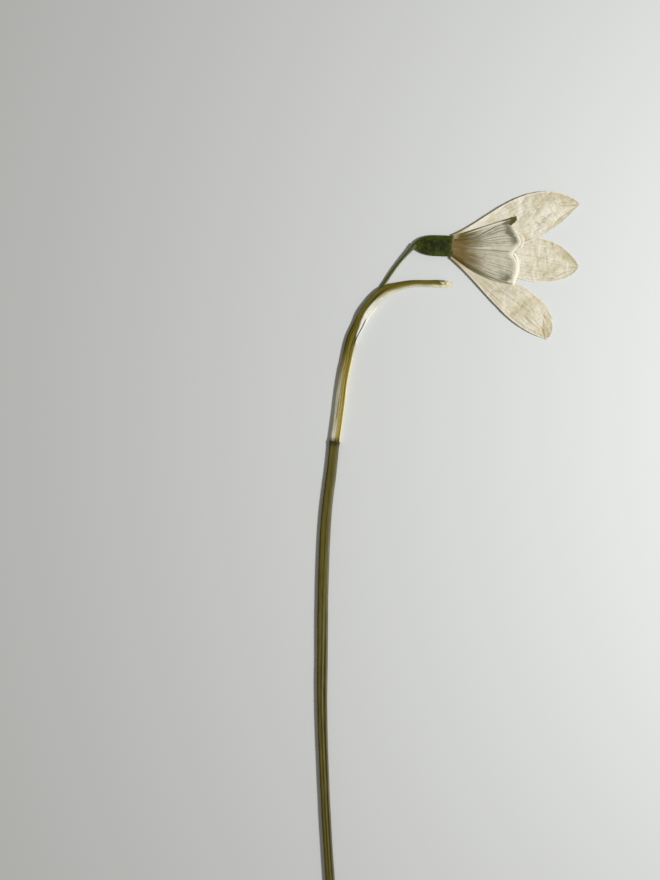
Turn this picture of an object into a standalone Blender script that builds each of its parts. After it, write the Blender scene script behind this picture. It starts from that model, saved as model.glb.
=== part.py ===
"""A pressed snowdrop flower, lying flat: scape, spathe, pedicel, ovary, six tepals, six stamens and a style.

The frame is in metres, +Z up, with the flower lying on the plane z = 0. The scape runs along Y and the flower
head opens towards +X. The origin is under the middle of the whole flower. Every size below is in millimetres.
"""

import math

import bmesh
import bpy
from mathutils import Vector

MM = 0.001

# The two places that everything is measured from: the node, where the scape ends and the spathe and pedicel
# begin, and the mouth, the flat end of the ovary that carries the tepals.
NODE = Vector((-20.35, 20.2, 0.0))
MOUTH = Vector((0.86, 55.28, 0.0))
JOINT_GAP = 0.15
SURFACE = 0.0

# How many points go round a section, and how many lengths a route is cut into.
SCAPE_SIDES, OVARY_SIDES, THREAD_SIDES = 14, 18, 8
SCAPE_STEPS, SPATHE_STEPS, PEDICEL_STEPS, STYLE_STEPS = 26, 34, 36, 8
TEPAL_STEPS, FAN_STEPS, FAN_HALF_COLUMNS = 22, 14, 8

# Scape: the bare flower stalk, pressed to an oval with a flat underside.
SCAPE_ROUTE = (
    (0.0, 0.0), (-0.55, -5.3), (-1.4, -12.1), (-1.85, -19.1), (-2.12, -28.0),
    (-2.2, -38.0), (-2.24, -48.0), (-1.87, -60.0), (-1.27, -72.0), (-0.35, -85.4),
)
SCAPE_WIDTH = 1.72
SCAPE_HEIGHT = 0.95
SCAPE_CENTRE_SHARE = 0.4
SCAPE_TAPER = 0.12
NODE_SWELL = 0.1

# Spathe: the sheath over the pedicel, a gutter that opens downwards and hooks over to the right.
SPATHE_ROUTE = (
    (0.05, 0.15), (0.9, 6.3), (1.45, 10.8), (2.15, 14.3), (3.05, 18.3), (4.45, 21.2),
    (6.05, 23.8), (8.65, 26.7), (11.15, 27.8), (14.05, 28.4), (17.15, 28.5), (19.65, 28.5), (21.05, 28.45),
)
SPATHE_HALF_WIDTHS = (
    (0.0, 0.84), (0.45, 0.82), (0.56, 0.98), (0.66, 0.98), (0.8, 0.6), (0.9, 0.53), (0.96, 0.6), (1.0, 0.12),
)
SPATHE_HEIGHT = 1.12
SPATHE_TIP_HEIGHT = 0.7
SPATHE_WALL = 0.16
SPATHE_FOOT = 0.03
ARCH_POWER = 0.6
CLOSING_FROM = 0.93
EXIT_FROM, EXIT_TO, EXIT_EASE = 0.5, 0.78, 0.07
EXIT_LIFT = 0.84

# Pedicel: the thread that carries the flower, inside the spathe for its first two thirds.
PEDICEL_ROUTE = (
    (0.1, 0.3, 0.36), (0.5, 3.9, 0.36), (1.15, 8.4, 0.36), (1.85, 12.9, 0.36), (2.95, 17.4, 0.36),
    (4.55, 21.5, 0.36), (6.35, 24.9, 0.36), (8.42, 27.6, 0.38), (10.64, 30.85, 0.5), (12.58, 33.3, 0.64),
    (13.6, 34.7, 0.74), (14.05, 35.25, 0.77),
)
PEDICEL_RADIUS = 0.32

# Ovary: the dark green inferior ovary, squeezed flatter than it is wide, with a flat underside.
OVARY_LENGTH = 6.95
OVARY_TILT = -2.0
OVARY_HALF_WIDTH = 1.9
OVARY_HALF_HEIGHT = 0.95
OVARY_CENTRE_HEIGHT = 0.78
OVARY_BLUNT_SHARE, OVARY_MOUTH_SHARE = 0.16, 0.975
OVARY_WIDEST = 0.55
OVARY_SECTIONS = (0.0, 0.02, 0.06, 0.12, 0.2, 0.3, 0.42, 0.55, 0.68, 0.8, 0.9, 1.0)

# Outer tepals. Each is (name, base offset up the mouth, direction in degrees, length, left side, right side,
# bow, base height, body height, tip height), where a side is (half width, rise, fall).
TEPAL_THICKNESS = 0.16
TEPAL_END, TEPAL_SPACING = 0.994, 0.85
CLAW_HALF_WIDTH = 0.38
OUTER_TEPALS = (
    ("outer_tepal_upper", 1.7, 14.7, 23.45, (4.36, 1.5, 0.72), (4.0, 1.03, 1.19), -0.5, 0.62, 0.46, 0.2),
    ("outer_tepal_middle", -0.05, -9.1, 22.8, (4.32, 1.31, 0.74), (3.66, 1.24, 0.67), -0.23, 0.3, 0.12, 0.12),
    ("outer_tepal_lower", -1.8, -41.5, 22.55, (3.07, 0.87, 0.47), (3.15, 1.88, 0.7), 1.83, 0.62, 0.46, 0.2),
)
BOW_SHAPE = (1.8, 0.45)

# Inner tepals, fans that open from the mouth. Each is (name, base edges up the mouth, fan edges in degrees,
# rim as (share across, distance out), side bulges, edge height, crown height).
INNER_TEPALS = (
    (
        "inner_tepal_back", (-1.78, -0.1), (-25.0, -6.0),
        ((0.0, 12.05), (0.3, 12.15), (0.65, 12.1), (1.0, 11.1)),
        (1.0, 0.0), 0.82, 0.82,
    ),
    (
        "inner_tepal_side", (0.1, 1.8), (-1.5, 17.3),
        ((0.0, 12.3), (0.2, 12.8), (0.34, 12.65), (0.55, 10.75), (0.66, 10.45), (0.86, 11.9), (1.0, 12.05)),
        (0.0, 0.0), 0.82, 0.82,
    ),
    (
        "inner_tepal_front", (-1.7, 1.3), (-24.8, 14.6),
        (
            (0.0, 11.85), (0.18, 11.8), (0.35, 11.45), (0.475, 10.6), (0.61, 11.6), (0.66, 11.95),
            (0.75, 11.8), (0.84, 11.4), (0.93, 10.9), (1.0, 10.25),
        ),
        (0.75, -0.5), 1.1, 1.55,
    ),
)
SWELLING_BULGE, HOLLOW_BULGE = (1.0, 1.0), (0.8, 2.2)

# Stamens lie fanned between the inner tepals, three each side of the style.
STAMEN_FAN = (-0.68, -0.45, -0.22, 0.22, 0.45, 0.68)
STAMEN_REACH = (0.012, 0.4)
STAMEN_SECTIONS = (0.0, 0.1, 0.2, 0.28, 0.4, 0.6, 0.8, 0.92, 1.0)
FILAMENT_SHARE = 0.2
FILAMENT_HALF_WIDTH, ANTHER_HALF_WIDTH = 0.1, 0.22
STAMEN_HALF_HEIGHT = 0.13
STYLE_REACH, STYLE_RADIUS = (0.012, 0.76), 0.12
HEART_HEIGHT = 1.14


def smooth_step(low, high, value):
    """0 below low, 1 above high, and a smooth S between them."""
    t = min(1.0, max(0.0, (value - low) / (high - low)))
    return t * t * (3 - 2 * t)


def hump(u, rise, fall):
    """u^rise (1 - u)^fall, scaled so that its highest value is 1."""
    peak = rise / (rise + fall)
    return (u**rise * (1 - u) ** fall) / (peak**rise * (1 - peak) ** fall)


def along_table(table, u):
    """Reads a table of (share of the length, value) at u, with straight lines between its rows."""
    for (u0, v0), (u1, v1) in zip(table, table[1:]):
        if u <= u1:
            return v0 + (v1 - v0) * (u - u0) / (u1 - u0)
    return table[-1][1]


def smooth_route(points, count):
    """count + 1 points, evenly spaced along a Catmull-Rom curve through points."""
    ends = [points[0] * 2 - points[1], *points, points[-1] * 2 - points[-2]]
    dense = []
    for a, b, c, d in zip(ends, ends[1:], ends[2:], ends[3:]):
        for i in range(20):
            t = i / 20
            dense.append(
                0.5 * (2 * b + (c - a) * t + (2 * a - 5 * b + 4 * c - d) * t**2)
                + 0.5 * (3 * b - a - 3 * c + d) * t**3
            )
    dense.append(points[-1])
    travelled = [0.0]
    for near, far in zip(dense, dense[1:]):
        travelled.append(travelled[-1] + (far - near).length)
    route, at = [], 0
    for i in range(count + 1):
        goal = travelled[-1] * i / count
        while at < len(dense) - 2 and travelled[at + 1] < goal:
            at += 1
        share = (goal - travelled[at]) / (travelled[at + 1] - travelled[at])
        route.append(dense[at].lerp(dense[at + 1], share))
    return route


def sides_of(route):
    """The level unit vector to the left of the route at each of its points."""
    sides = []
    for i in range(len(route)):
        along = route[min(i + 1, len(route) - 1)] - route[max(i - 1, 0)]
        sides.append(Vector((-along.y, along.x, 0.0)).normalized())
    return sides


def finish_of(name, colour, roughness):
    """A plain Principled material."""
    material = bpy.data.materials.new(name)
    material.use_nodes = True
    shader = material.node_tree.nodes["Principled BSDF"]
    shader.inputs["Base Color"].default_value = (*colour, 1.0)
    shader.inputs["Roughness"].default_value = roughness
    shader.inputs["Metallic"].default_value = 0.0
    return material


def loft(name, sections, material):
    """One closed solid through closed loops of points in millimetres. Each loop runs out over the top and
    back underneath, point for point, so the two ends close with a row of small faces."""
    bm = bmesh.new()
    loops = [[bm.verts.new(point * MM) for point in section] for section in sections]
    for near, far in zip(loops, loops[1:]):
        for i, corner in enumerate(near):
            after = (i + 1) % len(near)
            bm.faces.new((corner, near[after], far[after], far[i]))
    for end in (loops[0], loops[-1]):
        for i in range(len(end) // 2 - 1):
            bm.faces.new((end[i], end[i + 1], end[-2 - i], end[-1 - i]))
    bmesh.ops.recalc_face_normals(bm, faces=bm.faces)
    mesh = bpy.data.meshes.new(name)
    bm.to_mesh(mesh)
    bm.free()
    mesh.shade_smooth()
    mesh.set_sharp_from_angle(angle=math.radians(50))
    mesh.materials.append(material)
    part = bpy.data.objects.new(name, mesh)
    bpy.context.scene.collection.objects.link(part)
    return part


def oval(centre, side, half_width, half_height, count, floor=None):
    """A closed oval across a route. Below floor it is cut off level, which makes a flat underside."""
    ring = []
    for i in range(count):
        turn = 2 * math.pi * (i + 0.5) / count
        point = centre + side * (half_width * math.cos(turn))
        point.z += half_height * math.sin(turn)
        if floor is not None:
            point.z = max(floor, point.z)
        ring.append(point)
    return ring


def make_scape(material):
    route = smooth_route([NODE + Vector((*p, 0.0)) for p in SCAPE_ROUTE], SCAPE_STEPS)
    sections = []
    for i, (point, side) in enumerate(zip(route, sides_of(route))):
        u = i / (len(route) - 1)
        narrowing = SCAPE_TAPER * (smooth_step(0.6, 1.0, u) + smooth_step(0.3, 0.0, u))
        half_width = SCAPE_WIDTH / 2 * (1 - narrowing) + NODE_SWELL * smooth_step(0.04, 0.0, u)
        point.z = SCAPE_HEIGHT * SCAPE_CENTRE_SHARE
        sections.append(oval(point, side, half_width, SCAPE_HEIGHT - point.z, SCAPE_SIDES, SURFACE))
    return loft("scape", sections, material)


def make_spathe(material):
    """An arch over the pedicel. Its left foot lifts where the pedicel comes out from under it."""
    route = smooth_route([NODE + Vector((*p, 0.0)) for p in SPATHE_ROUTE], SPATHE_STEPS)
    sections = []
    for i, (point, side) in enumerate(zip(route, sides_of(route))):
        u = i / (len(route) - 1)
        half_width = along_table(SPATHE_HALF_WIDTHS, u)
        top = SPATHE_HEIGHT + (SPATHE_TIP_HEIGHT - SPATHE_HEIGHT) * smooth_step(0.75, 1.0, u)
        open_side = smooth_step(EXIT_FROM, EXIT_FROM + EXIT_EASE, u)
        open_side *= smooth_step(EXIT_TO, EXIT_TO - EXIT_EASE, u)
        left_foot = SPATHE_FOOT + (EXIT_LIFT - SPATHE_FOOT) * open_side
        closing = smooth_step(CLOSING_FROM, 1.0, u)
        outer, inner = [], []
        for k in range(11):
            turn = math.pi * k / 10
            arch = math.sin(turn) ** ARCH_POWER
            foot = left_foot if turn < math.pi / 2 else SPATHE_FOOT
            wall = min(SPATHE_WALL, half_width * 0.45) * (1 - 0.3 * closing)
            outer_top = Vector((0.0, 0.0, foot + (top - foot) * arch))
            inner_top = Vector((0.0, 0.0, foot + (top - foot - wall) * arch))
            outer.append(point + side * (half_width * math.cos(turn)) + outer_top)
            inner.append(point + side * ((half_width - wall) * math.cos(turn)) + inner_top)
        sections.append(outer + list(reversed(inner)))
    return loft("spathe", sections, material)


def make_pedicel(material):
    route = smooth_route([Vector((NODE.x + x, NODE.y + y, z)) for x, y, z in PEDICEL_ROUTE], PEDICEL_STEPS)
    round_section = (PEDICEL_RADIUS, PEDICEL_RADIUS, THREAD_SIDES)
    sections = [oval(point, side, *round_section) for point, side in zip(route, sides_of(route))]
    return loft("pedicel", sections, material)


def make_ovary(material):
    """A bullet shape: round where the pedicel joins, flat at the mouth."""
    axis = Vector((math.cos(math.radians(OVARY_TILT)), math.sin(math.radians(OVARY_TILT)), 0.0))
    side = Vector((-axis.y, axis.x, 0.0))
    start = MOUTH - axis * OVARY_LENGTH
    sections = []
    for u in OVARY_SECTIONS:
        share = max(OVARY_BLUNT_SHARE, math.sin(min(1.0, u / OVARY_WIDEST) * math.pi / 2) ** 0.5)
        share *= 1 - (1 - OVARY_MOUTH_SHARE) * smooth_step(0.6, 1.0, u)
        centre = start + axis * (OVARY_LENGTH * u)
        centre.z = OVARY_CENTRE_HEIGHT
        half_width, half_height = OVARY_HALF_WIDTH * share, OVARY_HALF_HEIGHT * share
        sections.append(oval(centre, side, half_width, half_height, OVARY_SIDES, SURFACE))
    return loft("ovary", sections, material)


def thin_section(points):
    """A closed loop around a row of points: above it one way, and below it the other."""
    half = Vector((0.0, 0.0, TEPAL_THICKNESS / 2))
    return [p + half for p in points] + [p - half for p in reversed(points)]


def make_outer_tepal(spec, material):
    """A spoon-shaped petal. Its half width is a narrow claw that fades out, plus a hump towards the tip."""
    name, offset, degrees, length, left, right, bow, base_height, body_height, tip_height = spec
    along = Vector((math.cos(math.radians(degrees)), math.sin(math.radians(degrees)), 0.0))
    side = Vector((-along.y, along.x, 0.0))
    base = MOUTH + Vector((JOINT_GAP, offset, 0.0))
    sections = []
    for i in range(TEPAL_STEPS + 1):
        u = TEPAL_END * (i / TEPAL_STEPS) ** TEPAL_SPACING
        claw = CLAW_HALF_WIDTH * (1 - u) ** 2
        to_left = claw + left[0] * hump(u, *left[1:])
        to_right = claw + right[0] * hump(u, *right[1:])
        middle = base + along * (length * u) + side * (bow * hump(u, *BOW_SHAPE))
        middle.z = body_height + (base_height - body_height) * smooth_step(0.2, 0.0, u)
        middle.z += (tip_height - body_height) * smooth_step(0.72, 1.0, u)
        row = [middle - side * (to_right * v / 3) for v in (3, 2, 1)]
        row += [middle + side * (to_left * v / 3) for v in range(4)]
        sections.append(thin_section(row))
    return loft(name, sections, material)


def fan_point(spec, v, u):
    """The point at u from the mouth to the rim of a fan, on the ray v, which is -1 and 1 at its two sides."""
    _, base_edges, fan_edges, rim, bulges, *_ = spec
    share = (v + 1) / 2
    start = MOUTH + Vector((JOINT_GAP, base_edges[0] + (base_edges[1] - base_edges[0]) * share, 0.0))
    turn = math.radians(fan_edges[0] + (fan_edges[1] - fan_edges[0]) * share)
    point = start + Vector((math.cos(turn), math.sin(turn), 0.0)) * (along_table(rim, share) * u)
    bulge = bulges[1] if v > 0 else bulges[0]
    point.y += v * abs(v) * bulge * hump(u, *(SWELLING_BULGE if bulge > 0 else HOLLOW_BULGE))
    return point


def make_inner_tepal(spec, material):
    """A fan with a notched rim. Its crown stands over the stamens, and its sides and rim come down."""
    name, *_, edge_height, crown_height = spec
    sections = []
    for i in range(FAN_STEPS + 1):
        u = i / FAN_STEPS
        row = []
        for k in range(-FAN_HALF_COLUMNS, FAN_HALF_COLUMNS + 1):
            v = k / FAN_HALF_COLUMNS
            point = fan_point(spec, v, u)
            crown = (1 - abs(v) ** 6) * smooth_step(1.0, 0.72, u)
            point.z = edge_height + (crown_height - edge_height) * crown
            row.append(point)
        sections.append(thin_section(row))
    return loft(name, sections, material)


def make_stamen(name, v, material):
    """A short filament that widens into a pointed anther, along a ray of the front tepal."""
    start = fan_point(INNER_TEPALS[-1], v, STAMEN_REACH[0])
    end = fan_point(INNER_TEPALS[-1], v, STAMEN_REACH[1])
    side = Vector((start.y - end.y, end.x - start.x, 0.0)).normalized()
    sections = []
    for u in STAMEN_SECTIONS:
        widening = smooth_step(FILAMENT_SHARE - 0.05, FILAMENT_SHARE + 0.1, u)
        half = FILAMENT_HALF_WIDTH + (ANTHER_HALF_WIDTH - FILAMENT_HALF_WIDTH) * widening
        half *= 1 - 0.85 * smooth_step(0.3, 1.0, u)
        centre = start.lerp(end, u)
        centre.z = HEART_HEIGHT
        height = STAMEN_HALF_HEIGHT * (1 - 0.6 * smooth_step(0.5, 1.0, u))
        sections.append(oval(centre, side, half, height, THREAD_SIDES))
    return loft(name, sections, material)


def make_style(material):
    start = fan_point(INNER_TEPALS[-1], 0.0, STYLE_REACH[0])
    end = fan_point(INNER_TEPALS[-1], 0.0, STYLE_REACH[1])
    side = Vector((start.y - end.y, end.x - start.x, 0.0)).normalized()
    sections = []
    for i in range(STYLE_STEPS + 1):
        centre = start.lerp(end, i / STYLE_STEPS)
        centre.z = HEART_HEIGHT
        sections.append(oval(centre, side, STYLE_RADIUS, STYLE_RADIUS, THREAD_SIDES))
    return loft("style", sections, material)


def main():
    for old in list(bpy.data.objects):
        bpy.data.objects.remove(old)
    stalk = finish_of("dried_stalk", (0.09, 0.08, 0.025), 0.6)
    sheath = finish_of("dried_sheath", (0.3, 0.27, 0.1), 0.55)
    fruit = finish_of("dried_ovary", (0.03, 0.04, 0.012), 0.65)
    petal = finish_of("dried_tepal", (0.66, 0.6, 0.44), 0.75)
    fan = finish_of("dried_inner_tepal", (0.5, 0.48, 0.35), 0.75)
    pollen = finish_of("dried_stamen", (0.35, 0.16, 0.04), 0.8)
    make_scape(stalk)
    make_spathe(sheath)
    make_pedicel(stalk)
    make_ovary(fruit)
    for spec in OUTER_TEPALS:
        make_outer_tepal(spec, petal)
    for spec in INNER_TEPALS:
        make_inner_tepal(spec, fan)
    for number, v in enumerate(STAMEN_FAN, 1):
        make_stamen(f"stamen_{number}", v, pollen)
    make_style(fan)


main()
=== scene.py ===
"""A pressed snowdrop flower lying flat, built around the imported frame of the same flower.

Shapes are worked out in millimetres, as whole grids of points, and turned to metres when a mesh is made. A
sheet is a function of u, from base to tip, and v, from its right edge to its left. A stalk is a section
carried along a route. Each piece keeps the values that its markings follow, such as how deep a vein or a
stain is, as named values on its points, and its material reads them.
"""

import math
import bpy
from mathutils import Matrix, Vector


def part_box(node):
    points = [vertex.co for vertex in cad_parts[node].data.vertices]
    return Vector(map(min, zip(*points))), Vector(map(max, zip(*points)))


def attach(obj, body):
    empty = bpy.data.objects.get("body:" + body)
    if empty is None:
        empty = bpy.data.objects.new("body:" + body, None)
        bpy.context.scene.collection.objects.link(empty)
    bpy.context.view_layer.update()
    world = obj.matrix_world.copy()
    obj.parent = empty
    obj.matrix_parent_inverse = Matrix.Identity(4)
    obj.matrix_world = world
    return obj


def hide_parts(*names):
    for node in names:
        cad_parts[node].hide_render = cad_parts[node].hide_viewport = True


bl_info = {
    "name": "Pressed Snowdrop",
    "version": (1, 0, 0),
    "blender": (4, 5, 0),
    "location": "3D View > Sidebar > Snowdrop",
    "description": "Builds a pressed snowdrop flower with its stalk, sheath, ovary, tepals and stamens",
    "category": "Add Mesh",
}

from types import SimpleNamespace

import bpy
import numpy as np

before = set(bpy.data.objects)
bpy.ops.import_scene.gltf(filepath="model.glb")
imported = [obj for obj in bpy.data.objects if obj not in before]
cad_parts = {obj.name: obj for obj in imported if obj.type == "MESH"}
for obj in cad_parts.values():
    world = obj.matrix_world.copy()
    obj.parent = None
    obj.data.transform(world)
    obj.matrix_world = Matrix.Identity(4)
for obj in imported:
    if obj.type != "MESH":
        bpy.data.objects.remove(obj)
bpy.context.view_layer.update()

MM = 0.001


def anchor(node, share_x, share_y):
    """A point in a CAD node's box, in millimetres, at the given shares of its width and length."""
    low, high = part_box(node)
    x = low.x + (high.x - low.x) * share_x
    y = low.y + (high.y - low.y) * share_y
    return np.array((x, y, 0.0)) / MM


# The node, where the scape ends and the spathe and pedicel begin, and the mouth, the flat end of the ovary.
NODE = anchor("scape", 0.7884, 0.999)
MOUTH = anchor("ovary", 0.991, 0.4795)

# How many points each surface has along it and across or round it.
TEPAL_GRID, FAN_GRID = (250, 97), (200, 193)
SCAPE_GRID, PEDICEL_GRID, SPATHE_GRID = (621, 64), (301, 24), (481, 85)
OVARY_GRID, STAMEN_GRID, STYLE_GRID = (150, 120), (90, 28), (80, 20)

# Routes are counted from the node.
SCAPE_ROUTE = (
    (0.0, 0.08), (-0.55, -5.3), (-1.4, -12.1), (-1.85, -19.1), (-2.12, -28.0),
    (-2.2, -38.0), (-2.24, -48.0), (-1.87, -60.0), (-1.27, -72.0), (-0.35, -85.4),
)
SPATHE_ROUTE = (
    (0.03, 0.02), (0.9, 6.3), (1.45, 10.8), (2.15, 14.3), (3.05, 18.3), (4.45, 21.2), (6.05, 23.8),
    (8.65, 26.7), (11.15, 27.8), (14.05, 28.4), (17.15, 28.42), (19.65, 28.36), (21.15, 28.3),
)
PEDICEL_ROUTE = (
    (0.1, 0.3, 0.36), (0.5, 3.9, 0.36), (1.15, 8.4, 0.36), (1.85, 12.9, 0.36), (2.95, 17.4, 0.36),
    (4.55, 21.5, 0.36), (6.35, 24.9, 0.36), (8.42, 27.6, 0.38), (10.64, 30.85, 0.5), (12.6, 33.28, 0.64),
    (13.75, 34.58, 0.74), (14.5, 35.35, 0.77),
)
PEDICEL_RADIUS = 0.31

# Knots of (share of the way along, value). A place across is -1 at the right edge and 1 at the left, and the
# ridge and the grooves beside it have their strengths.
SCAPE_HALF_WIDTH = ((0.0, 0.88), (0.25, 0.95), (0.5, 0.93), (0.65, 0.85), (1.0, 0.8))
RIDGE_PLACE = ((0.0, 0.4), (0.3, 0.3), (0.45, 0.08), (0.75, 0.1), (1.0, 0.1))
RIDGE_STRENGTH = ((0.0, 0.25), (0.2, 0.4), (0.42, 1.0), (0.75, 0.75), (1.0, 0.6))
RIGHT_GROOVE = ((0.0, 0.3), (0.4, 0.9), (1.0, 1.0))
LEFT_GROOVE = ((0.0, 0.1), (0.35, 0.4), (0.42, 1.1), (1.0, 1.0))
SPATHE_HALF_WIDTH = (
    (0.0, 0.88), (0.3, 0.9), (0.45, 0.9), (0.56, 1.0), (0.66, 1.02), (0.8, 0.6), (0.9, 0.55), (0.96, 0.6),
    (1.0, 0.3),
)
SPATHE_TOP = ((0.0, 0.86), (0.5, 0.86), (0.7, 0.84), (0.85, 0.62), (0.95, 0.6), (1.0, 0.5))
# Where the green band ends and the bleached membrane begins, from -1 at the left edge to 1 at the right.
BAND_EDGE = (
    (0.0, 1.3), (0.42, 1.2), (0.46, 0.6), (0.49, 0.32), (0.53, 0.13), (0.6, -0.02), (0.645, -0.03),
    (0.69, 0.4), (0.73, 0.54), (0.79, 0.58), (0.88, 0.52), (1.0, 0.5),
)

OVARY_LENGTH, OVARY_HALF_WIDTH, OVARY_DEGREES = 6.95, 1.88, -2.0

# Tepal bases start this far inside the mouth.
BASE_INSET = 0.04

# Outer tepals. offset is up the mouth, left and right are the (half width, rise, fall) of the two sides, bow
# is to the left, and heights are of the base, the body and the tip. lean and stretch turn and lengthen the
# crumples, and crumple and weave are strengths. folds are (start, end, depth), and spots are (along, across,
# radius, depth), counted from the base.
OUTER_TEPALS = {
    "upper": SimpleNamespace(
        offset=1.72, degrees=14.7, length=23.55, left=(4.36, 1.5, 0.72), right=(4.0, 1.03, 1.19), bow=-0.5,
        heights=(0.6, 0.5, 0.22), lean=0.47, stretch=1.0, crumple=0.75, weave=0.9, seed=11,
        folds=(
            ((23.3, 0.0), (22.1, 0.5), 0.1), ((22.1, 0.5), (19.9, 1.1), 0.06),
            ((22.9, 0.0), (20.4, -0.6), 0.07), ((20.4, -0.6), (18.2, -1.7), 0.07),
            ((21.6, -0.7), (18.2, -2.3), 0.08),
        ),
        spots=(
            (18.0, 2.5, 0.4, 0.35), (17.1, 3.9, 0.45, 0.35), (12.5, 3.3, 0.4, 0.2), (12.0, -3.2, 0.8, 0.55),
        ),
    ),
    "middle": SimpleNamespace(
        offset=-0.02, degrees=-9.1, length=23.0, left=(4.32, 1.31, 0.74), right=(3.66, 1.24, 0.67), bow=-0.23,
        heights=(0.3, 0.16, 0.16), lean=0.28, stretch=0.9, crumple=1.0, weave=0.5, seed=23,
        folds=(
            ((19.1, -2.1), (20.6, -1.2), 0.13), ((15.8, -3.2), (18.6, -2.5), 0.07),
            ((21.3, -0.1), (22.8, 0.0), 0.05),
        ),
        spots=((17.6, 3.5, 0.25, 0.6), (16.3, 3.75, 0.22, 0.6), (20.0, 1.5, 0.25, 0.3)),
    ),
    "lower": SimpleNamespace(
        offset=-1.8, degrees=-41.5, length=22.8, left=(3.07, 0.87, 0.47), right=(3.15, 1.88, 0.7), bow=1.83,
        heights=(0.6, 0.5, 0.22), lean=-0.1, stretch=1.35, crumple=1.0, weave=0.9, seed=37,
        folds=(
            ((20.7, -0.5), (21.6, -0.8), 0.07), ((20.1, 0.2), (19.6, 1.1), 0.07),
            ((19.6, 1.1), (19.9, 1.9), 0.05), ((19.6, 1.1), (17.6, 1.7), 0.04),
            ((9.2, -1.9), (15.0, -1.9), 0.03), ((11.2, -0.9), (18.5, -1.1), 0.04),
            ((13.5, -1.5), (20.6, -1.3), 0.04), ((15.0, -0.1), (19.0, -0.2), 0.03),
        ),
        spots=(
            (21.2, -0.6, 0.32, 0.6), (20.6, 0.0, 0.3, 0.25), (12.6, 1.3, 0.7, 0.3), (10.4, -0.3, 0.8, 0.25),
            (15.5, 1.6, 0.8, 0.25),
        ),
    ),
}
BOW_SHAPE = (1.8, 0.45)
CLAW_HALF_WIDTH = 0.38

# Inner tepals. base_edges are up the mouth and fan_edges are in degrees, both right then left. rim is (share
# across, distance out), and right and left are (share out, shift to the left) of the two sides.
STRAIGHT = ((0.0, 0.0), (0.5, 0.0), (1.0, 0.0))
INNER_TEPALS = {
    "back": SimpleNamespace(
        base_edges=(-1.78, -0.1), fan_edges=(-25.0, -6.0),
        rim=((0.0, 12.38), (0.3, 12.42), (0.65, 12.3), (0.87, 11.8), (1.0, 11.25)),
        right=((0.0, 0.0), (0.25, 0.75), (0.5, 1.0), (0.75, 0.75), (1.0, 0.0)), left=STRAIGHT,
        edge_height=0.76, crown_height=0.76, pleats=12, seed=5,
    ),
    "side": SimpleNamespace(
        base_edges=(0.1, 1.86), fan_edges=(-1.5, 17.3),
        rim=(
            (0.0, 12.5), (0.2, 13.0), (0.34, 12.85), (0.45, 12.0), (0.55, 10.9), (0.66, 10.6), (0.76, 11.1),
            (0.86, 12.0), (1.0, 12.1),
        ),
        right=STRAIGHT, left=STRAIGHT, edge_height=0.76, crown_height=0.76, pleats=12, seed=8,
    ),
    "front": SimpleNamespace(
        base_edges=(-1.7, 1.3), fan_edges=(-24.8, 14.4),
        rim=(
            (0.0, 12.15), (0.18, 12.07), (0.27, 11.94), (0.35, 11.67), (0.42, 11.18), (0.475, 10.82),
            (0.53, 11.08), (0.61, 11.75), (0.66, 12.1), (0.75, 11.93), (0.84, 11.48), (0.93, 10.95),
            (1.0, 10.3),
        ),
        right=((0.0, 0.0), (0.25, 0.56), (0.5, 0.75), (0.75, 0.56), (1.0, 0.0)),
        left=((0.0, 0.0), (0.15, -0.42), (0.36, -0.66), (0.6, -0.22), (0.8, 0.34), (0.92, 0.2), (1.0, 0.0)),
        edge_height=0.94, crown_height=1.45, pleats=21, seed=13,
    ),
}

# Stamens and style lie along rays of the front inner tepal. Their reach is (start, span), as shares of a ray.
STAMEN_FAN = (-0.68, -0.45, -0.22, 0.22, 0.45, 0.68)
STAMEN_REACH, STYLE_REACH = (0.012, 0.388), (0.012, 0.748)
HEART_HEIGHT = 1.14

# Thin pieces keep this far above the surface that the flower lies on. Edges sharper than this stay sharp.
CLEARANCE = 0.01
SHARP_ANGLE = math.radians(60)
TISSUE_IOR = 1.45

# The stage, in metres. A small window at (azimuth, elevation) lights the flower from the right, a dim warm
# world fills the shadows, and the camera looks straight down.
FLOOR_SIDE, FLOOR_DROP = 4.0, 0.02 * MM
SHADOW_TINT = (1.0, 0.94, 0.82, 1.0)
WINDOW_DEGREES, WINDOW_DISTANCE, WINDOW_AIM = (2.0, 48.0), 0.28, (-0.02, 0.02)
CAMERA_PLACE = (-0.02122, 0.020475, 0.374)


def linear(code):
    """Turns an sRGB hex colour into linear red, green, blue and a solid alpha."""
    channels = [int(code[i : i + 2], 16) / 255 for i in (1, 3, 5)]
    return (*[c / 12.92 if c <= 0.04045 else ((c + 0.055) / 1.055) ** 2.4 for c in channels], 1.0)


def colour(name, description, code):
    return bpy.props.FloatVectorProperty(
        name=name, description=description, subtype="COLOR", size=4, min=0.0, max=1.0, default=linear(code)
    )


def size(name, description, millimetres):
    return bpy.props.FloatProperty(
        name=name, description=description, subtype="DISTANCE", unit="LENGTH", min=0.0,
        default=millimetres * MM,
    )


class SnowdropSizes(bpy.types.PropertyGroup):
    """Sizes that don't move a piece from its CAD place."""

    tissue: size("Tissue thickness", "How thick a pressed tepal is", 0.1)
    sheath: size("Sheath thickness", "How thick the spathe's wall is", 0.14)
    crumple: size("Crumple height", "How high the papery crumples of the outer tepals stand", 0.085)
    vein_gap: size("Vein spacing", "Distance between the veins of an outer tepal at its widest", 0.66)
    frill: size("Frill height", "How far the rims of the inner tepals wave up and down", 0.07)
    groove: size("Groove depth", "How deep the grooves along the stalk are", 0.09)


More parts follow.
